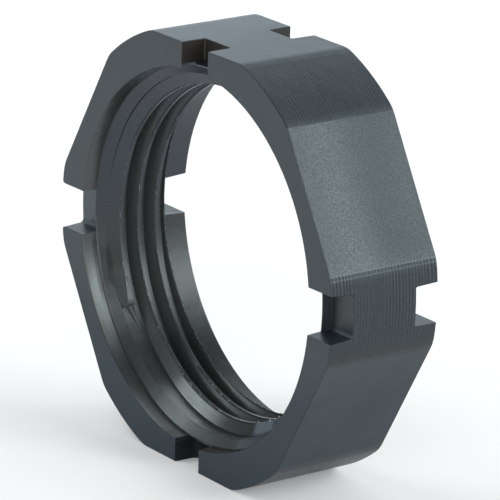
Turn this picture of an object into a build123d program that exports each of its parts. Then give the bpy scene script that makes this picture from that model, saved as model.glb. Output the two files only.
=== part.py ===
from build123d import *
from build123d.topology import SkipClean
import math
import os

os.makedirs("parts", exist_ok=True)

# Cable gland lock nut: one moulded ring, all sizes in millimetres.
# It is drawn lying down, front face up, with the bore along Z, and is stood on its lower flat at the end.

# Thread, metric 25 x 1.5 with running room
thread_major_diameter = 25.3
thread_depth = 0.85
thread_pitch = 1.5
thread_crest_width = 0.22
thread_flank_angle = 30.0

# Plain bands at the two ends of the bore, a step wider than the thread
front_band_step = 0.68
front_band_depth = 1.15
front_cone_length = 0.6
band_corner_radius = 0.25
back_band_step = 0.6
back_band_depth = 2.4

# Outer ring, 30 across the flats
flat_wall = 1.67
corner_stand_share = 0.06
thickness = 8.8
corner_soften = 2.6
face_edge_break = 0.05

# Where the thread ends at the front, seen from the front, counter-clockwise from the right
thread_end_angle = 212.3
thread_end_depth = 2.318
runout_ramp_length = 3.3
runout_crest_ease = 0.17
runout_ease_diameter = 12.0
runout_end_radius = 0.45

# Spanner slots through the wall in both faces, in the order right, top, left, bottom, as seen from the front.
# Each row: angle, width, depth, draft of the walls in degrees, radius of the floor corners.
front_slots = (
    (0.7, 3.3, 1.8, 3.5, 0.3),
    (90.4, 3.05, 1.9, 0.5, 0.12),
    (180.5, 3.2, 1.67, 3.5, 0.3),
    (270.0, 2.8, 1.9, 3.5, 0.6),
)
back_slots = (
    (0.0, 2.85, 1.85, 2.0, 0.12),
    (89.5, 2.8, 1.9, 2.0, 0.12),
    (180.0, 2.95, 2.05, 3.5, 0.3),
    (270.0, 2.95, 1.85, 3.5, 0.3),
)
slot_lip_radius = 0.3
inner_ring_draft = 14.0

# Worked out from the sizes above
half = thickness / 2
major_radius = thread_major_diameter / 2
minor_radius = major_radius - thread_depth
front_band_radius = major_radius + front_band_step
back_band_radius = major_radius + back_band_step
flat_radius = front_band_radius + flat_wall
corner_radius = flat_radius * (1 + corner_stand_share)
shoulder_z = back_band_depth - half
band_floor_z = half - front_band_depth
cone_end_z = band_floor_z - front_cone_length
flank_slope = math.tan(math.radians(thread_flank_angle))


def make_blank():
    """Six flats with the corners turned to one round, and broken face edges."""
    outline = RegularPolygon(flat_radius, 6, major_radius=False) & Circle(corner_radius)
    outline = fillet(outline.vertices(), corner_soften)
    blank = extrude(Plane.XY.offset(-half) * outline, thickness)
    rims = blank.faces().filter_by(Axis.Z).edges()
    return chamfer(rims, face_edge_break)


def make_bore():
    """The room inside the ring, from the back band to the front band, as one turned shape."""
    flare = face_edge_break + 1.0
    outline = Polyline(
        (0, -half - 1.0),
        (back_band_radius + flare, -half - 1.0),
        (back_band_radius, -half + face_edge_break),
        (back_band_radius, shoulder_z),
        (major_radius, shoulder_z),
        (major_radius, cone_end_z),
        (front_band_radius, band_floor_z),
        (front_band_radius, half - face_edge_break),
        (front_band_radius + flare, half + 1.0),
        (0, half + 1.0),
        close=True,
    )
    face = make_face(Plane.XZ * outline)
    cove = face.vertices().sort_by_distance((front_band_radius, 0, band_floor_z))[0]
    face = fillet(cove, band_corner_radius)
    return revolve(face, Axis.Z)


def make_quarter_turn():
    """A quarter turn of the thread ridge, swept along its helix, with the crest turned to a true cylinder."""
    root_radius = major_radius + 0.15
    fin_radius = front_band_radius + 0.05
    tip_radius = minor_radius - 0.1
    tip_width = thread_crest_width - 0.2 * flank_slope
    rear_spread = (root_radius - tip_radius) * flank_slope
    front_spread = (fin_radius - tip_radius) * flank_slope
    tooth = Polyline(
        (tip_radius, 0),
        (tip_radius, tip_width),
        (fin_radius, tip_width + front_spread),
        (fin_radius, tip_width + 0.75 * front_spread),
        (root_radius, tip_width + 0.2 * rear_spread),
        (root_radius, -rear_spread),
        close=True,
    )
    path = Helix(thread_pitch, thread_pitch / 4, minor_radius)
    ridge = sweep(make_face(Plane.XZ * tooth), path=path, is_frenet=True)
    return ridge - Cylinder(minor_radius, 4 * thread_pitch)


def make_runout():
    """What is taken off the front end of the ridge, drawn with the end of the ridge on the X axis."""
    ramp = Polyline(
        (-runout_ramp_length, band_floor_z),
        (-0.45 * runout_ramp_length, cone_end_z + 0.07),
        (-runout_end_radius, cone_end_z + 0.04),
        (0, cone_end_z - 0.15),
        (1, cone_end_z - 0.15),
        (1, half),
        (-runout_ramp_length, half),
        close=True,
    )
    ramp_cut = extrude(Plane.YZ * make_face(ramp), front_band_radius + 1)
    end_crest = minor_radius + runout_crest_ease
    ease = Pos(end_crest - runout_ease_diameter / 2, 0) * Circle(runout_ease_diameter / 2)
    nose_centre = end_crest + runout_end_radius
    corner = Pos(nose_centre, -runout_end_radius) * Rectangle(3, 3, align=(Align.MAX, Align.MIN))
    corner -= Pos(nose_centre, -runout_end_radius) * Circle(runout_end_radius)
    crest_cut = extrude(Plane.XY.offset(half - thread_end_depth - 0.6) * ease, 3)
    corner_cut = extrude(Plane.XY.offset(half - thread_end_depth - 0.6) * corner, 3)
    return [ramp_cut, crest_cut, corner_cut]


def make_thread():
    """The whole ridge, stepped up its screw, with both ends trimmed the way the moulding core leaves them."""
    quarter = make_quarter_turn()
    fin_radius = front_band_radius + 0.05
    crest_back = 0.1 * flank_slope
    end_z = half - thread_end_depth + crest_back
    start_z = shoulder_z - thread_crest_width - (fin_radius - minor_radius) * flank_slope
    step_z = thread_pitch / 4
    count = math.ceil((end_z - start_z) / step_z)
    turns = []
    for k in range(1, count + 1):
        turns.append(Pos(0, 0, end_z - k * step_z) * Rot(0, 0, thread_end_angle - 90 * k) * quarter)
    ridge = turns[0].fuse(*turns[1:])
    room = extrude(Plane.XY.offset(shoulder_z) * Circle(fin_radius + 1), band_floor_z - 0.03 - shoulder_z)
    ridge = ridge & room
    for cut in make_runout():
        ridge = ridge - Rot(0, 0, thread_end_angle) * cut
    return ridge


def make_slot(angle, width, depth, wall_draft, floor_radius):
    """One spanner slot through the wall, drafted, with rounded floor corners, for the front face."""
    lean = math.tan(math.radians(wall_draft))
    top = half + 1.0
    floor = half - depth
    outline = Polyline(
        (-width / 2 - lean, top),
        (-width / 2 + lean * depth, floor),
        (width / 2 - lean * depth, floor),
        (width / 2 + lean, top),
        close=True,
    )
    face = make_face(outline)
    face = fillet(face.vertices().group_by(Axis.Y)[0], floor_radius)
    return Rot(0, 0, angle) * extrude(Plane.YZ * face, corner_radius + 2)


def soften_left_lips(body):
    """The front slot on the left has rounded outer corners, where the mould is worn."""
    angle, width, depth, wall_draft, floor_radius = front_slots[2]
    lips = Vector(corner_radius, 0, half - depth / 2).rotate(Axis.Z, angle)
    upright = body.edges().filter_by(lambda e: abs(e.tangent_at(0.5).Z) > 0.9)
    return fillet(upright.sort_by_distance(lips)[:2], slot_lip_radius)


def make_inner_ring():
    """The thin ring that the front slots leave standing round the bore, a little thicker at its foot."""
    top_radius = front_band_radius + 0.05
    height = max(row[2] for row in front_slots) - front_band_depth
    foot_radius = top_radius + height * math.tan(math.radians(inner_ring_draft))
    return Pos(0, 0, band_floor_z - height / 2) * Cone(foot_radius, top_radius, height)


def make_nut():
    """The whole nut, drawn with its front face up."""
    body = make_blank() - make_bore()
    ring = make_inner_ring()
    for row in front_slots:
        body = body - (make_slot(*row) - ring)
    for angle, *sizes in back_slots:
        body = body - Rot(180, 0, 0) * make_slot(-angle, *sizes)
    body = soften_left_lips(body)
    # The seams between quarter turns are kept, so each length of crest is a cylinder that can be measured
    with SkipClean():
        return body.fuse(make_thread())


lock_nut = Rot(90, 0, 0) * make_nut()
lock_nut.label = "lock_nut"
export_step(lock_nut, "parts/lock_nut.step")
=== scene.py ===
import bmesh
import bpy
import math
from mathutils import Matrix, Vector, noise


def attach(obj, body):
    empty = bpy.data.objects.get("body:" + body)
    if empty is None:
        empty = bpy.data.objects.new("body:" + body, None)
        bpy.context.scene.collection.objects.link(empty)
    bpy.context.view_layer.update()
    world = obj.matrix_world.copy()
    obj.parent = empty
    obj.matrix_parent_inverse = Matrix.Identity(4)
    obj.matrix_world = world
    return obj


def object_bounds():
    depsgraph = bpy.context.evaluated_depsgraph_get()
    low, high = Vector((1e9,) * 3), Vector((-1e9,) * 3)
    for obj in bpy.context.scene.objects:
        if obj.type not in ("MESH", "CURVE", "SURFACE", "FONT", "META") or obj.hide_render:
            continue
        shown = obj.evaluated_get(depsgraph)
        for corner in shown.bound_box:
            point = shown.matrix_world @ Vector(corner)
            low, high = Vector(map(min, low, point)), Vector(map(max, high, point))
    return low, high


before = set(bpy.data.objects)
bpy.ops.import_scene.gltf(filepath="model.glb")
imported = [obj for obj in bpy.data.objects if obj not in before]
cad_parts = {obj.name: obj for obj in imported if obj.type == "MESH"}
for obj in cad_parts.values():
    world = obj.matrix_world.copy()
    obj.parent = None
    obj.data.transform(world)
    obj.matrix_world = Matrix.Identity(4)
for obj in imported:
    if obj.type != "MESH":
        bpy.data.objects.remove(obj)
CAD_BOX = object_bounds()
scene = bpy.context.scene
scene.view_settings.view_transform = "Standard"
scene.view_settings.look = "None"
scene.render.film_transparent = False

# The frame is in metres. Sizes of the nut are named in millimetres, and angles in degrees, as seen from the
# front, counter-clockwise from the right. Places along the bore, named Y, grow from the front to the back.
MM = 0.001
HALF_THICKNESS = CAD_BOX[1][1] / MM
FLOOR_Z = CAD_BOX[0][2]

# Radii between which the finish of the bore and of the thin ring round it end, and the outer finish starts
BORE_FINISH_ENDS = (13.5, 13.6)
RING_FINISH_ENDS = (14.0, 14.2)
OUTER_FINISH_STARTS = (14.0, 14.3)

# Where the plain bands and the cone end
BAND_FLOOR_Y = 1.15 - HALF_THICKNESS
CONE_END_Y = BAND_FLOOR_Y + 0.6
SHOULDER_Y = HALF_THICKNESS - 2.4

# Places along the bore between which a finish fades: at the front rim, in the cove behind it, round the
# thread's end, and on its bright flanks. Then the heights between which the cooler painted shade low down
# fades.
RIM_Y = (-4.3, -3.8)
COVE_Y = (-3.75, -3.5)
THREAD_END_FADE_Y = (-1.5, -1.2)
BRIGHT_FLANK_Y = (-0.9, -0.6)
SHADED_LOW_PART_Z = (-7.5, -3.0)

# Thread: the radius of its root and crest, its pitch and flank, where the crest's front edge ends, and which
# way that end faces, across and up
MAJOR_RADIUS = 12.65
CREST_RADIUS = MAJOR_RADIUS - 0.85
PITCH = 1.5
FLANK_ANGLE = 30
THREAD_END_ANGLE = 212.3
THREAD_END_Y = -2.302
THREAD_END_FACES = (0.53, -0.85)

# The short tail past the thread's end: its length, where its foot starts, its section there, how deep it is
# sunk in the wall, and how it thins
TAIL_DEGREES = 11
TAIL_STEPS = 14
TAIL_FOOT_Y = -1.66
TAIL_WIDTH = 0.64
TAIL_RIDGE = 0.36
TAIL_HEIGHT = 0.6
TAIL_SINK = 0.02
TAIL_THINNING = 1.4

# Flash: its steps and runs in degrees, half its width, how deep it is sunk, how high it stands on the left and
# in the lower bore, where that changes, and how ragged it must be to stand at all
FLASH_STEP = 0.25
FLASH_RUN = 15
FLASH_WIDTH = 0.012
FLASH_SINK = 0.006
LEFT_FLASH = 0.05
LOWER_FLASH = 0.17
LOWER_FLASH_FROM = 235
TORN_BELOW = 0.35

# Stretches round the nut where the finish, or the painted light or shade, changes: their middle, half their
# length, and how softly they end
FROSTED_FLAT = (30, 18.7, 0.4)
TOP_FLAT = (90, 18.7, 0.4)
FLAT_END = (18.7, 19.1)
TOP_SLOT = (90, 12, 3)
LEFT_SLOT = (180, 12, 3)
BOTTOM_SLOT = (-90, 12, 3)
SEAM_LINE = (11.25, 0.12, 0.2)
SECOND_SEAM_LINE = (10.15, 0.08, 0.2)
THREAD_END = (THREAD_END_ANGLE, 17, 5)
THREAD_END_FLANK = (208, 7, 4)
# Polished stretches, where the gloss also lays a painted highlight: on the thread and on the front band
THREAD_POLISH_HIGHLIGHT = (-104.5, 8, 9)
BAND_POLISH_HIGHLIGHT = (-152, 14, 22)
DULL_UPPER_CREST = (134, 15, 10)
DULL_LOWER_CREST = (-95, 22, 6)
# A painted highlight low on the right of the bore, and the paler painted halo round it
PAINTED_HIGHLIGHT_PATCH = (-67, 4, 2.5)
HIGHLIGHT_HALO = (-65, 6, 3)
WARM_GLOSS = (-100, 20, 22)
COVE_LEFT_DIM = (-162, 7, 5)
COVE_LOWER_DIM = (-105, 10, 10)
RIM_GLINT = (-122, 14, 10)
RIM_DIM = (-153, 8, 6)
# Painted light along the front band's left rim, and on the band near the top slot
LEFT_RIM_LIGHT = (159, 17, 4)
TOP_BAND_LIGHT = (106, 8, 22)

# Fine marks in the surface: the spacing of the tool lines, how high each mark stands, and the edges' round
LINE_SPACING = 0.27
LINE_RELIEF = 0.0035
GRAIN_RELIEF = 0.003
FROST_RELIEF = 0.012
DRAG_RELIEF = 0.006
CLOUD_RELIEF = 0.06
EDGE_ROUND = 0.09

# Gloss, as the shader's specular level. Its stretches in the bore, the slots and round the rim stand partly
# for painted highlights and shade.
PLAIN_GLOSS = 0.5
BACK_GLOSS = 0.42
LOW_FACE_GLOSS = 0.4
TURNED_GLOSS = 0.38
SEAM_GLOSS = 0.68
WALL_GLOSS = 0.64
TOP_WALL_GLOSS = 0.38
BOTTOM_WALL_GLOSS = 0.1
BORE_GLOSS = 0.46
BRIGHT_THREAD_GLOSS = 1.0
DULL_CREST_GLOSS = 0.12
SHADED_GLOSS = 0.15
BAND_HIGHLIGHT_GLOSS = 0.85
RIM_GLINT_GLOSS = 0.95
RIM_DIM_GLOSS = 0.66

# Gloss round the cone: each stretch where it changes and its level there, laid over the one before
CONE_GLOSS = (
    ((198, 4, 4), 0.26),
    ((-96, 24, 24), 0.59),
    ((-107, 4, 6), 0.76),
    ((214.5, 3, 5), 0.72),
)

# Index of refraction, and how rough each finish is
PLAIN_IOR = 1.5
BRIGHT_THREAD_IOR = 1.72
PLAIN_ROUGHNESS = 0.4
BORE_ROUGHNESS = 0.26
POLISHED_ROUGHNESS = 0.2
FROSTED_ROUGHNESS = 0.5
TURNED_ROUGHNESS = 0.42

# Tones of the plastic, and of the light and shade painted on it, in linear red, green and blue, from dark
# to pale where there are two
OUTSIDE_TONES = ((0.011, 0.0155, 0.018), (0.02, 0.027, 0.032))
# Painted shade: the lower part of the outside, darker and cooler
LOW_SHADE_TONES = ((0.007, 0.0125, 0.0165), (0.013, 0.022, 0.029))
# The frosted flat: its frosting made paler by a painted sheen, and a darker painted shade off the sheen
FROST_AND_SHEEN_TONES = ((0.034, 0.038, 0.036), (0.096, 0.102, 0.094))
OFF_SHEEN_SHADE_TONE = (0.018, 0.02, 0.02)
TURNED_TONES = ((0.013, 0.014, 0.016), (0.022, 0.025, 0.027))
LOWER_BORE_TONE = (0.019, 0.019, 0.018)
UPPER_BORE_TONE = (0.022, 0.026, 0.032)
# Painted highlight in the lower bore, and its paler painted halo
HIGHLIGHT_HALO_TONE = (0.036, 0.044, 0.05)
PAINTED_HIGHLIGHT_TONE = (0.088, 0.107, 0.122)
# Painted light in a groove on the left of the thread, lifting its shade
LEFT_GROOVE_LIGHT_TONE = (0.031, 0.033, 0.031)
# Painted light on the thread's blunt end, its flank and ramp, lifting them out of shade
END_STEP_LIGHT_TONE = (0.06, 0.064, 0.066)
END_FLANK_LIGHT_TONE = (0.033, 0.035, 0.035)
END_RAMP_LIGHT_TONE = (0.062, 0.065, 0.066)
BAND_TONE = (0.018, 0.017, 0.016)
# Painted light on the front band: along its left rim, and near the top slot
LEFT_RIM_LIGHT_TONE = (0.056, 0.054, 0.054)
TOP_BAND_LIGHT_TONE = (0.084, 0.098, 0.107)
WALL_TONE = (0.011, 0.013, 0.015)
TOP_WALL_TONE = (0.02, 0.016, 0.013)
# Painted light on the floor of the left slot
LEFT_FLOOR_LIGHT_TONE = (0.022, 0.034, 0.042)
# Flash, paler than the plastic, partly as painted glints
FLASH_GLINT_TONES = ((0.07, 0.08, 0.082), (0.5, 0.54, 0.52))

# Tints of the gloss
PLAIN_TINT = (0.92, 1.0, 1.04)
LOW_TINT = (0.7, 0.85, 0.97)
BORE_TINT = (0.93, 0.99, 1.06)
WARM_TINT = (0.98, 1.0, 0.94)

# Soft lights of the studio: azimuth, elevation, tightness of the lobe, and radiance at its middle
STUDIO_LIGHTS = {
    "key, low at the front": (36, 8, 9, 2.2),
    "table light, low on the camera's side": (60, -5, 9, 4.2),
    "fill, far left": (250, 8, 9, 1.8),
    "overhead, behind the left shoulder": (240, 58, 9, 0.6),
    "rim, behind on the right": (158, 24, 45, 10.5),
    "strip, right": (122, 24, 22, 5.7),
    "backdrop": (200, 30, 22, 2.6),
    "panel, front left": (320, 32, 22, 2.6),
    "panel, high left": (310, 60, 45, 4.4),
    "small front left": (340, 10, 45, 0.9),
}
STUDIO_TINT = (0.93, 1.05, 1.13)

# The floor, in metres
FLOOR_SIZE = 6
FLOOR_TONE = (0.82, 0.75, 0.70)
FLOOR_ROUGHNESS = 0.9
FLOOR_GLOSS = 0.1
FLOOR_GLOW = 0.15

# The camera's azimuth, elevation and roll in degrees, its distance, and its focal length in pixels
CAMERA_AZIMUTH = 53.59
CAMERA_ELEVATION = 17.68
CAMERA_ROLL = 1.55
CAMERA_DISTANCE = 289.0 * MM
CAMERA_SIDE = 0.443 * MM
CAMERA_RISE = 0.027 * MM
FOCAL_PIXELS = 4217
FRAME_PIXELS = 500
SENSOR_WIDTH = 36


def direction(azimuth, elevation):
    """A unit vector towards a place on the sky, from the front at 0 and from the right at 90 degrees."""
    a, e = math.radians(azimuth), math.radians(elevation)
    return Vector((math.sin(a) * math.cos(e), -math.cos(a) * math.cos(e), math.sin(e)))


def make_camera():
    """The camera at the photograph's viewing angle."""
    back = direction(CAMERA_AZIMUTH, CAMERA_ELEVATION)
    right = direction(CAMERA_AZIMUTH + 90, 0)
    up = back.cross(right)
    turn = Matrix.Rotation(math.radians(CAMERA_ROLL), 3, back)
    right, up = turn @ right, turn @ up
    data = bpy.data.cameras.new("camera")
    data.sensor_width = SENSOR_WIDTH
    data.lens = FOCAL_PIXELS / FRAME_PIXELS * SENSOR_WIDTH
    data.clip_start = 0.01
    data.clip_end = 20
    camera = bpy.data.objects.new("camera", data)
    place = Matrix((right, up, back)).transposed().to_4x4()
    place.translation = back * CAMERA_DISTANCE + right * CAMERA_SIDE + up * CAMERA_RISE
    camera.matrix_world = place
    scene.collection.objects.link(camera)
    scene.camera = camera


class Nodes:
    """Short ways to build a node tree."""

    def __init__(self, tree):
        self.tree = tree

    def add(self, kind, **settings):
        node = self.tree.nodes.new(kind)
        for name, value in settings.items():
            setattr(node, name, value)
        return node

    def feed(self, socket, value):
        if isinstance(value, bpy.types.NodeSocket):
            self.tree.links.new(value, socket)
        else:
            socket.default_value = value

    def math(self, operation, a, b=0.0, clamp=False):
        node = self.add("ShaderNodeMath", operation=operation, use_clamp=clamp)
        self.feed(node.inputs[0], a)
        self.feed(node.inputs[1], b)
        return node.outputs[0]

    def times(self, first, *others):
        for value in others:
            first = self.math("MULTIPLY", first, value)
        return first

    def plus(self, a, b):
        return self.math("ADD", a, b)

    def minus(self, a, b, clamp=False):
        return self.math("SUBTRACT", a, b, clamp)

    def size_of(self, value):
        return self.math("ABSOLUTE", value)

    def either(self, a, b):
        return self.math("MAXIMUM", a, b)

    def ramp(self, value, low, high, to_low=0.0, to_high=1.0):
        """A smooth step of value between low and high."""
        node = self.add("ShaderNodeMapRange", interpolation_type="SMOOTHSTEP")
        settings = {"Value": value, "From Min": low, "From Max": high, "To Min": to_low, "To Max": to_high}
        for name, setting in settings.items():
            self.feed(node.inputs[name], setting)
        return node.outputs["Result"]

    def fall(self, value, low, high):
        """A smooth step from one below low to nothing above high."""
        return self.ramp(value, low, high, 1.0, 0.0)

    def near(self, value, centre, reach, soft):
        """One where value lies within reach of centre, falling to nothing over soft."""
        return self.fall(self.size_of(self.minus(value, centre)), reach, reach + soft)

    def mix(self, factor, a, b):
        node = self.add("ShaderNodeMix", data_type="FLOAT")
        self.feed(node.inputs["Factor"], factor)
        self.feed(node.inputs["A"], a)
        self.feed(node.inputs["B"], b)
        return node.outputs["Result"]

    def mix_colour(self, factor, a, b):
        node = self.add("ShaderNodeMix", data_type="RGBA")
        self.feed(node.inputs[0], factor)
        for socket, value in ((node.inputs[6], a), (node.inputs[7], b)):
            self.feed(socket, (*value, 1) if isinstance(value, tuple) else value)
        return node.outputs[2]

    def combine(self, x, y, z):
        node = self.add("ShaderNodeCombineXYZ")
        for socket, value in zip(node.inputs, (x, y, z)):
            self.feed(socket, value)
        return node.outputs[0]

    def split(self, vector):
        node = self.add("ShaderNodeSeparateXYZ")
        self.feed(node.inputs[0], vector)
        return node.outputs

    def in_mm(self, vector):
        node = self.add("ShaderNodeVectorMath", operation="SCALE")
        self.feed(node.inputs[0], vector)
        node.inputs["Scale"].default_value = 1 / MM
        return node.outputs[0]

    def noise(self, vector, scale=1.0, detail=2.0, roughness=0.5):
        node = self.add("ShaderNodeTexNoise")
        self.feed(node.inputs["Vector"], vector)
        node.inputs["Scale"].default_value = scale
        node.inputs["Detail"].default_value = detail
        node.inputs["Roughness"].default_value = roughness
        return node.outputs["Fac"]


class Surface:
    """What the material knows of a point on the nut: its place, the way it faces, and its finish."""

    def __init__(self, n):
        self.n = n
        coordinates = n.add("ShaderNodeTexCoord").outputs
        self.point = n.in_mm(coordinates["Object"])
        self.x, self.y, self.z = n.split(self.point)
        self.nx, self.ny, self.nz = n.split(coordinates["Normal"])
        self.radius = n.math("SQRT", n.plus(n.times(self.x, self.x), n.times(self.z, self.z)))
        self.angle = n.times(n.math("ARCTAN2", self.z, self.x), 180 / math.pi)
        self.turned_by = n.math("MODULO", n.plus(self.angle, 360.0), 360.0)
        outward = n.plus(n.times(self.nx, self.x), n.times(self.nz, self.z))
        self.outward = n.math("DIVIDE", outward, self.radius)
        self.find_outside()
        self.find_bore()
        self.find_thread_end()
        self.add_marks()

    def along(self, middle, reach, soft):
        """One along a stretch round the nut. A middle from 180 on is counted on past the left."""
        way = self.turned_by if middle >= 180 else self.angle
        return self.n.near(way, middle, reach, soft)

    def find_outside(self):
        """The outer surface, its flats and turned corners, the two faces, and the walls of the slots."""
        n = self.n
        self.outer = n.times(n.ramp(self.outward, 0.55, 0.75), n.ramp(self.radius, *OUTER_FINISH_STARTS))
        level = n.ramp(n.size_of(self.ny), 0.9, 0.95)
        at_face = n.ramp(n.size_of(self.y), HALF_THICKNESS - 0.12, HALF_THICKNESS - 0.08)
        self.face = n.times(level, at_face)
        self.bore = n.times(n.fall(self.radius, *BORE_FINISH_ENDS), n.minus(1.0, self.face))
        self.wall = n.minus(n.minus(1.0, self.outer), n.plus(self.face, self.bore), clamp=True)
        from_flat = n.size_of(n.minus(n.math("MODULO", self.turned_by, 60.0), 30.0))
        self.turned = n.times(self.outer, n.ramp(from_flat, *FLAT_END))
        self.frosted = n.times(self.outer, self.along(*FROSTED_FLAT))
        self.top_flat = n.times(self.outer, self.along(*TOP_FLAT))
        self.seam = n.times(n.either(self.along(*SEAM_LINE), self.along(*SECOND_SEAM_LINE)), self.outer)
        self.ring_back = n.times(n.ramp(self.outward, 0.4, 0.6), n.fall(self.radius, *RING_FINISH_ENDS))

    def find_bore(self):
        """The front band, the cone behind it, and the thread with its bright flanks and dull crest, its
        polished stretch that is partly a painted highlight, a painted highlight low on the right, and painted
        light in a groove on the left.
        """
        n = self.n
        ahead_of_floor = n.fall(self.y, BAND_FLOOR_Y - 0.05, BAND_FLOOR_Y + 0.1)
        self.front_band = n.times(ahead_of_floor, n.ramp(self.radius, 13.0, 13.2), self.bore)
        self.cone = n.times(self.bore, n.fall(self.y, CONE_END_Y - 0.02, CONE_END_Y + 0.02))
        behind_floor = n.near(self.y, 0.0, -BAND_FLOOR_Y - 0.1, 0.2)
        ahead_of_shoulder = n.fall(self.y, SHOULDER_Y - 0.02, SHOULDER_Y + 0.02)
        self.thread = n.times(self.bore, behind_floor, ahead_of_shoulder)
        # A polished stretch of the thread, partly a painted highlight
        self.polish_highlight = self.along(*THREAD_POLISH_HIGHLIGHT)
        bright = n.times(n.minus(self.thread, self.cone, clamp=True), self.polish_highlight)
        bright = n.times(bright, n.ramp(self.radius, CREST_RADIUS + 0.02, CREST_RADIUS + 0.15))
        self.bright = n.times(bright, n.ramp(self.y, *BRIGHT_FLANK_Y, 0.93, 0.26))
        dull_crest = n.times(n.fall(self.radius, CREST_RADIUS + 0.06, CREST_RADIUS + 0.14), self.thread)
        dull_ways = n.either(self.along(*DULL_UPPER_CREST), self.along(*DULL_LOWER_CREST))
        self.dull_crest = n.times(dull_crest, dull_ways)
        # A painted highlight low on the right of the thread
        self.painted_highlight = n.times(n.near(self.y, -0.95, 0.5, 0.2), self.along(*PAINTED_HIGHLIGHT_PATCH), self.thread)
        # Painted light in a groove on the left, lifting its shade
        left_groove_light = n.times(n.fall(self.x, -9.5, -8.0), n.ramp(self.y, -1.6, -1.0))
        self.left_groove_light = n.times(left_groove_light, n.ramp(self.radius, 11.9, 12.05), self.thread)

    def find_thread_end(self):
        """The front end of the thread: all of it, its blunt step, its flank, and the ramp on it."""
        n = self.n
        at_end = n.times(self.along(*THREAD_END), n.fall(self.y, *THREAD_END_FADE_Y))
        self.at_end = n.times(at_end, n.fall(self.radius, 13.1, 13.2))
        across, upward = THREAD_END_FACES
        end_way = n.plus(n.times(self.nx, across), n.times(self.nz, upward))
        self.end_step = n.times(self.at_end, n.ramp(end_way, 0.25, 0.5))
        self.end_flank = n.times(self.along(*THREAD_END_FLANK), n.fall(self.ny, -0.85, -0.8), self.at_end)
        self.end_ramp = n.fall(self.ny, -0.91, -0.89)

    def add_marks(self):
        """Fine marks: lines on the turned corners, grain, frosting, clouds, and drag marks in the bore."""
        n = self.n
        round_way = n.times(self.angle, 0.06)
        drift = n.times(n.noise(n.combine(self.y, n.times(round_way, 0.15), 0.0), 1.6), 5.0)
        lines = n.math("SINE", n.plus(n.times(self.y, 2 * math.pi / LINE_SPACING), drift))
        fade = n.ramp(n.noise(n.combine(n.times(self.y, 1.2), round_way, 3.0), 0.9), 0.3, 0.7)
        depth = n.mix(n.ramp(self.angle, 30, 31), n.ramp(self.angle, -6, 9, 0.75, 1.8), 0.58)
        self.lines = n.times(lines, fade, depth)
        self.grain = n.ramp(n.noise(self.point, 6.0, 3.0, 0.65), 0.3, 0.7)
        self.frost = n.ramp(n.noise(self.point, 8.0, 2.0, 0.7), 0.3, 0.7)
        self.clouds = n.noise(self.point, 0.35, 3.0, 0.5)
        self.drag = n.noise(n.combine(n.times(self.y, 7.0), round_way, self.radius), 1.0, 3.0, 0.6)


def make_normal(n, s):
    """The relief of the marks, on a surface whose edges have a small round, apart from a few sharp ones."""
    relief = n.times(s.lines, s.turned, LINE_RELIEF)
    relief = n.plus(relief, n.times(s.grain, s.turned, GRAIN_RELIEF))
    relief = n.plus(relief, n.times(s.frost, s.frosted, FROST_RELIEF))
    relief = n.plus(relief, n.times(s.drag, s.bore, DRAG_RELIEF))
    relief = n.plus(relief, n.times(s.clouds, CLOUD_RELIEF))
    sharp = n.either(n.times(s.front_band, n.ramp(s.y, -4.25, -4.2)), s.at_end)
    sharp = n.either(sharp, n.times(s.thread, n.ramp(s.z, 3.0, 6.0)))
    edges = n.add("ShaderNodeBevel", samples=6)
    n.feed(edges.inputs["Radius"], n.times(n.minus(1.0, sharp), EDGE_ROUND * MM))
    bump = n.add("ShaderNodeBump")
    bump.inputs["Distance"].default_value = MM
    n.feed(bump.inputs["Height"], relief)
    n.feed(bump.inputs["Normal"], edges.outputs[0])
    return bump.outputs[0]


def make_roughness(n, s):
    """How rough it is: smoother in the bore, rougher on the frosted flat and the turned corners."""
    roughness = n.mix(n.times(s.polish_highlight, s.thread), BORE_ROUGHNESS, POLISHED_ROUGHNESS)
    roughness = n.mix(s.bore, PLAIN_ROUGHNESS, roughness)
    roughness = n.mix(s.frosted, roughness, FROSTED_ROUGHNESS)
    roughness = n.mix(s.turned, roughness, TURNED_ROUGHNESS)
    return n.plus(roughness, n.times(n.minus(s.clouds, 0.5), 0.12))


def make_bore_gloss(n, s):
    """Gloss in the bore: the thread, the cone with its glints, and the front band with its cove and rim."""
    thread = n.mix(s.dull_crest, n.mix(s.bright, BORE_GLOSS, BRIGHT_THREAD_GLOSS), DULL_CREST_GLOSS)
    cone = BORE_GLOSS
    for stretch, level in CONE_GLOSS:
        cone = n.mix(s.along(*stretch), cone, level)
    at_rim = n.fall(s.y, *RIM_Y)
    band = n.mix(s.along(*BAND_POLISH_HIGHLIGHT), BORE_GLOSS, BAND_HIGHLIGHT_GLOSS)
    band = n.mix(n.times(s.along(*RIM_GLINT), at_rim), band, RIM_GLINT_GLOSS)
    band = n.mix(n.times(s.along(*RIM_DIM), at_rim), band, RIM_DIM_GLOSS)
    in_cove = n.either(n.times(s.along(*COVE_LEFT_DIM), 0.57), s.along(*COVE_LOWER_DIM))
    band = n.mix(n.times(in_cove, n.ramp(s.y, *COVE_Y)), band, SHADED_GLOSS)
    return n.mix(s.front_band, n.mix(s.cone, thread, cone), band)


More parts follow.
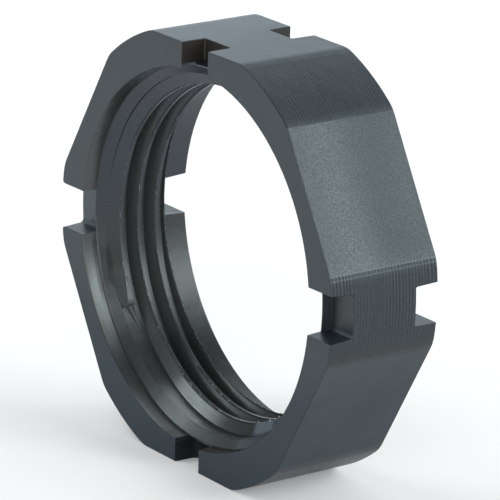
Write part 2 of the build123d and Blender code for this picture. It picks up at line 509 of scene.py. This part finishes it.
def make_gloss(n, s):
    """Gloss all over the nut."""
    top_slot = n.times(s.wall, s.along(*TOP_SLOT))
    bottom_slot = n.times(s.wall, s.along(*BOTTOM_SLOT))
    wall = n.mix(bottom_slot, n.mix(top_slot, WALL_GLOSS, TOP_WALL_GLOSS), BOTTOM_WALL_GLOSS)
    outside = n.ramp(s.y, -3.0, 3.0, PLAIN_GLOSS, BACK_GLOSS)
    gloss = n.mix(s.face, outside, n.ramp(s.z, -14.0, -3.0, LOW_FACE_GLOSS, PLAIN_GLOSS))
    gloss = n.mix(s.wall, n.mix(s.bore, gloss, make_bore_gloss(n, s)), wall)
    gloss = n.mix(s.ring_back, gloss, SHADED_GLOSS)
    top_flat = n.plus(n.ramp(s.clouds, 0.35, 0.65, -0.12, 0.12), n.ramp(s.x, -4.5, 3.0, 0.9, 0.55))
    gloss = n.mix(s.top_flat, gloss, top_flat)
    gloss = n.mix(s.turned, gloss, n.plus(TURNED_GLOSS, n.times(s.lines, 0.12)))
    return n.mix(s.seam, gloss, n.plus(SEAM_GLOSS, n.times(s.lines, 0.16)))


def make_bore_tone(n, s):
    """Tone in the bore, cooler above than below, with one painted highlight low on the right, in a paler
    painted halo.
    """
    tone = n.mix_colour(n.ramp(s.z, -5.0, 4.0), LOWER_BORE_TONE, UPPER_BORE_TONE)
    tone = n.mix_colour(s.along(*HIGHLIGHT_HALO), tone, HIGHLIGHT_HALO_TONE)
    return n.mix_colour(s.painted_highlight, tone, PAINTED_HIGHLIGHT_TONE)


def make_frost_sheen_tone(n, s):
    """Tone of the frosted flat, its frosting paled by a painted sheen: palest in a streak along its front
    half, and along its lower edge, with painted shade off the streak.
    """
    off_sheen = n.plus(n.ramp(s.y, -2.0, 1.2, 0.0, 0.56), n.ramp(s.y, -4.1, -2.2, 0.3, 0.0))
    off_sheen = n.minus(off_sheen, n.ramp(s.y, 1.5, 4.3, 0.0, 0.16))
    off_sheen = n.minus(off_sheen, n.ramp(s.angle, 11.0, 15.5, 0.18, 0.0), clamp=True)
    return n.mix_colour(off_sheen, n.mix_colour(s.frost, *FROST_AND_SHEEN_TONES), OFF_SHEEN_SHADE_TONE)


def make_band_tone(n, s):
    """Tone of the front band, with painted light along the rim on the left and near the top slot."""
    along_rim = n.minus(s.y, n.times(s.angle, 0.03))
    rim_light = n.times(s.along(*LEFT_RIM_LIGHT), n.fall(along_rim, -8.9, -8.2))
    band_light = n.times(s.along(*TOP_BAND_LIGHT), n.ramp(s.y, -4.3, -3.5, 0.5, 1.0))
    return n.mix_colour(band_light, n.mix_colour(rim_light, BAND_TONE, LEFT_RIM_LIGHT_TONE), TOP_BAND_LIGHT_TONE)


def make_wall_tone(n, s):
    """Tone of the slots' walls. The floor of the left slot is cooler and paler, a painted light."""
    top_slot = n.times(s.wall, s.along(*TOP_SLOT))
    left_floor_light = n.times(s.along(*LEFT_SLOT), n.fall(s.ny, -0.9, -0.6))
    return n.mix_colour(left_floor_light, n.mix_colour(top_slot, WALL_TONE, TOP_WALL_TONE), LEFT_FLOOR_LIGHT_TONE)


def make_tone(n, s):
    """Tone all over the nut, each finish, and each painted light or shade, laid over the one before."""
    # Darker and cooler low down: a painted shade
    high = n.ramp(s.z, *SHADED_LOW_PART_Z)
    tone = n.mix_colour(high, n.mix_colour(s.clouds, *LOW_SHADE_TONES), n.mix_colour(s.clouds, *OUTSIDE_TONES))
    tone = n.mix_colour(s.bore, tone, make_bore_tone(n, s))
    tone = n.mix_colour(s.frosted, tone, make_frost_sheen_tone(n, s))
    tone = n.mix_colour(s.turned, tone, n.mix_colour(s.grain, *TURNED_TONES))
    # Painted light in the groove on the left
    tone = n.mix_colour(s.left_groove_light, tone, LEFT_GROOVE_LIGHT_TONE)
    # Painted light on the thread's blunt end, its flank and its ramp
    tone = n.mix_colour(s.end_step, tone, END_STEP_LIGHT_TONE)
    tone = n.mix_colour(s.end_flank, tone, n.mix_colour(s.end_ramp, END_FLANK_LIGHT_TONE, END_RAMP_LIGHT_TONE))
    tone = n.mix_colour(s.front_band, tone, make_band_tone(n, s))
    return n.mix_colour(s.wall, tone, make_wall_tone(n, s))


def make_gloss_tint(n, s):
    """Tint of the gloss: cooler low down outside, and warmer in the lower bore."""
    warm = n.either(s.along(*WARM_GLOSS), s.along(*BAND_POLISH_HIGHLIGHT))
    outside = n.mix_colour(n.ramp(s.z, *SHADED_LOW_PART_Z), LOW_TINT, PLAIN_TINT)
    return n.mix_colour(s.bore, outside, n.mix_colour(warm, BORE_TINT, WARM_TINT))


def make_plastic():
    """Black moulded plastic, in the finishes that the mould and the turned corners leave on it, with light and
    shade painted into stretches of its tone and gloss.
    """
    material = bpy.data.materials.new("black_polyamide")
    material.use_nodes = True
    tree = material.node_tree
    n = Nodes(tree)
    s = Surface(n)
    shader = tree.nodes["Principled BSDF"].inputs
    n.feed(shader["Normal"], make_normal(n, s))
    n.feed(shader["Roughness"], make_roughness(n, s))
    n.feed(shader["Specular IOR Level"], make_gloss(n, s))
    n.feed(shader["Specular Tint"], make_gloss_tint(n, s))
    n.feed(shader["IOR"], n.mix(s.bright, PLAIN_IOR, BRIGHT_THREAD_IOR))
    n.feed(shader["Base Color"], make_tone(n, s))
    return material


def make_flash_glint_finish():
    """The thin torn plastic along the thread's edges, paler than the rest, partly as painted glints."""
    material = bpy.data.materials.new("flash_glint_plastic")
    material.use_nodes = True
    tree = material.node_tree
    n = Nodes(tree)
    shader = tree.nodes["Principled BSDF"].inputs
    point = n.in_mm(n.add("ShaderNodeTexCoord").outputs["Object"])
    patches = n.ramp(n.noise(point, 4.0, 2.0, 0.6), 0.4, 0.62)
    n.feed(shader["Base Color"], n.mix_colour(patches, *FLASH_GLINT_TONES))
    n.feed(shader["Roughness"], n.mix(patches, 0.3, 0.5))
    return material


def crest_front_y(angle, turn):
    """Where the front edge of the thread's crest lies at an angle, a number of turns behind the end."""
    return THREAD_END_Y + PITCH * ((THREAD_END_ANGLE - angle) / 360 + turn)


def shoulder_edge_radius(angle):
    """How far out the edge of the back shoulder lies, where the last turn of the thread runs into it."""
    slope = math.tan(math.radians(FLANK_ANGLE))
    foot = crest_front_y(angle, 0) - (MAJOR_RADIUS - CREST_RADIUS) * slope
    climb = ((SHOULDER_Y - foot) % PITCH) / slope
    return MAJOR_RADIUS - min(MAJOR_RADIUS - CREST_RADIUS, climb)


def add_ring(mesh, angle, corners):
    """Three corners of a section at an angle, each given by its radius and its place along the bore."""
    a = math.radians(angle)
    ring = []
    for r, y in corners:
        ring.append(mesh.verts.new((r * math.cos(a) * MM, y * MM, r * math.sin(a) * MM)))
    return ring


def join_rings(mesh, before, ring):
    for k in range(3):
        mesh.faces.new((before[k], before[(k + 1) % 3], ring[(k + 1) % 3], ring[k]))


def add_piece(name, mesh, finish):
    """A piece of the nut's own surface, which rides on the body and wears its plastic."""
    data = bpy.data.meshes.new(name)
    mesh.to_mesh(data)
    mesh.free()
    data.materials.append(finish)
    piece = bpy.data.objects.new(name, data)
    scene.collection.objects.link(piece)
    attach(piece, "root")


def add_flash_run(mesh, start, end, place):
    """One run of flash: a low ragged fin of three-sided section, torn away where it has no height."""
    amount = LEFT_FLASH if start < LOWER_FLASH_FROM else LOWER_FLASH
    before = None
    angle = start
    while angle < end:
        radius, y = place(angle)
        ragged = noise.noise(Vector((angle * 0.7, y * 3.1, 0.7)))
        ragged += 0.9 * noise.noise(Vector((angle * 2.3, y, 5.3)))
        height = amount * (ragged - 0.2) if ragged > TORN_BELOW else -FLASH_SINK
        front = (radius + FLASH_SINK, y - FLASH_WIDTH)
        back = (radius + FLASH_SINK, y + FLASH_WIDTH)
        tip = (radius - height, y - 0.4 * height)
        ring = add_ring(mesh, angle, (front, back, tip))
        if before:
            join_rings(mesh, before, ring)
        else:
            mesh.faces.new(ring)
        before = ring
        angle += FLASH_STEP
    mesh.faces.new(list(reversed(before)))


def make_tail(finish):
    """What is left of the rear flank past the thread's end, sinking into the wall over a few degrees."""
    mesh = bmesh.new()
    rings = []
    for k in range(TAIL_STEPS + 1):
        gone = k / TAIL_STEPS
        left = (1 - gone) ** TAIL_THINNING
        foot_y = TAIL_FOOT_Y - PITCH * TAIL_DEGREES * gone / 360
        front = (MAJOR_RADIUS + TAIL_SINK, foot_y - TAIL_WIDTH * left)
        ridge = (MAJOR_RADIUS - TAIL_HEIGHT * left, foot_y - TAIL_RIDGE * left)
        back = (MAJOR_RADIUS + TAIL_SINK, foot_y)
        rings.append(add_ring(mesh, THREAD_END_ANGLE - 1.0 + TAIL_DEGREES * gone, (front, ridge, back)))
    for before, ring in zip(rings, rings[1:]):
        join_rings(mesh, before, ring)
    for face in mesh.faces:
        face.smooth = True
    for before, ring in zip(rings, rings[1:]):
        mesh.edges.get((before[0], ring[0])).smooth = False
        mesh.edges.get((before[2], ring[2])).smooth = False
    mesh.faces.new(rings[0])
    bmesh.ops.remove_doubles(mesh, verts=mesh.verts, dist=0.0005 * MM)
    bmesh.ops.recalc_face_normals(mesh, faces=mesh.faces)
    add_piece("thread_tail", mesh, finish)


def make_flash(finish):
    """Flash left by the core along the front edges of the crest, and along the back shoulder's edge."""
    mesh = bmesh.new()
    for turn in range(4):
        last = THREAD_END_ANGLE - 4 if turn == 0 else 305
        for start in range(140, int(last), FLASH_RUN):
            end = min(start + FLASH_RUN, last)
            ahead_of_shoulder = crest_front_y(start, turn) < SHOULDER_Y - 0.15
            behind_cone = crest_front_y(end, turn) > CONE_END_Y + 0.1
            if ahead_of_shoulder and behind_cone:
                add_flash_run(mesh, start, end, lambda t: (CREST_RADIUS, crest_front_y(t, turn)))
    for start in range(150, 285, FLASH_RUN):
        add_flash_run(mesh, start, start + FLASH_RUN, lambda t: (shoulder_edge_radius(t), SHOULDER_Y))
    bmesh.ops.recalc_face_normals(mesh, faces=mesh.faces)
    add_piece("thread_flash", mesh, finish)


def make_studio():
    """A plain studio: a sky of a few wide soft lights, and nothing else."""
    world = bpy.data.worlds.new("studio")
    world.use_nodes = True
    tree = world.node_tree
    n = Nodes(tree)
    sky = n.add("ShaderNodeTexCoord").outputs["Generated"]
    total = 0.0
    for azimuth, elevation, tightness, radiance in STUDIO_LIGHTS.values():
        towards = n.add("ShaderNodeVectorMath", operation="DOT_PRODUCT")
        n.feed(towards.inputs[0], sky)
        towards.inputs[1].default_value = direction(azimuth, elevation)
        fall = n.times(n.minus(towards.outputs["Value"], 1.0), tightness)
        total = n.plus(n.times(n.math("EXPONENT", fall), radiance), total)
    background = tree.nodes["Background"].inputs
    background["Color"].default_value = (*STUDIO_TINT, 1)
    n.feed(background["Strength"], total)
    scene.world = world


def make_floor():
    """A plain pale floor under the nut, with a faint glow of its own."""
    bpy.ops.mesh.primitive_plane_add(size=FLOOR_SIZE, location=(0, 0, FLOOR_Z))
    floor = bpy.context.object
    floor.name = "floor"
    material = bpy.data.materials.new("pale_floor")
    material.use_nodes = True
    shader = material.node_tree.nodes["Principled BSDF"].inputs
    shader["Base Color"].default_value = (*FLOOR_TONE, 1)
    shader["Roughness"].default_value = FLOOR_ROUGHNESS
    shader["Specular IOR Level"].default_value = FLOOR_GLOSS
    shader["Emission Color"].default_value = (1, 1, 1, 1)
    shader["Emission Strength"].default_value = FLOOR_GLOW
    floor.data.materials.append(material)


make_camera()
make_floor()
make_studio()

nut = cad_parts["lock_nut"]
nut.data.materials.clear()
plastic = make_plastic()
nut.data.materials.append(plastic)
make_tail(plastic)
make_flash(make_flash_glint_finish())
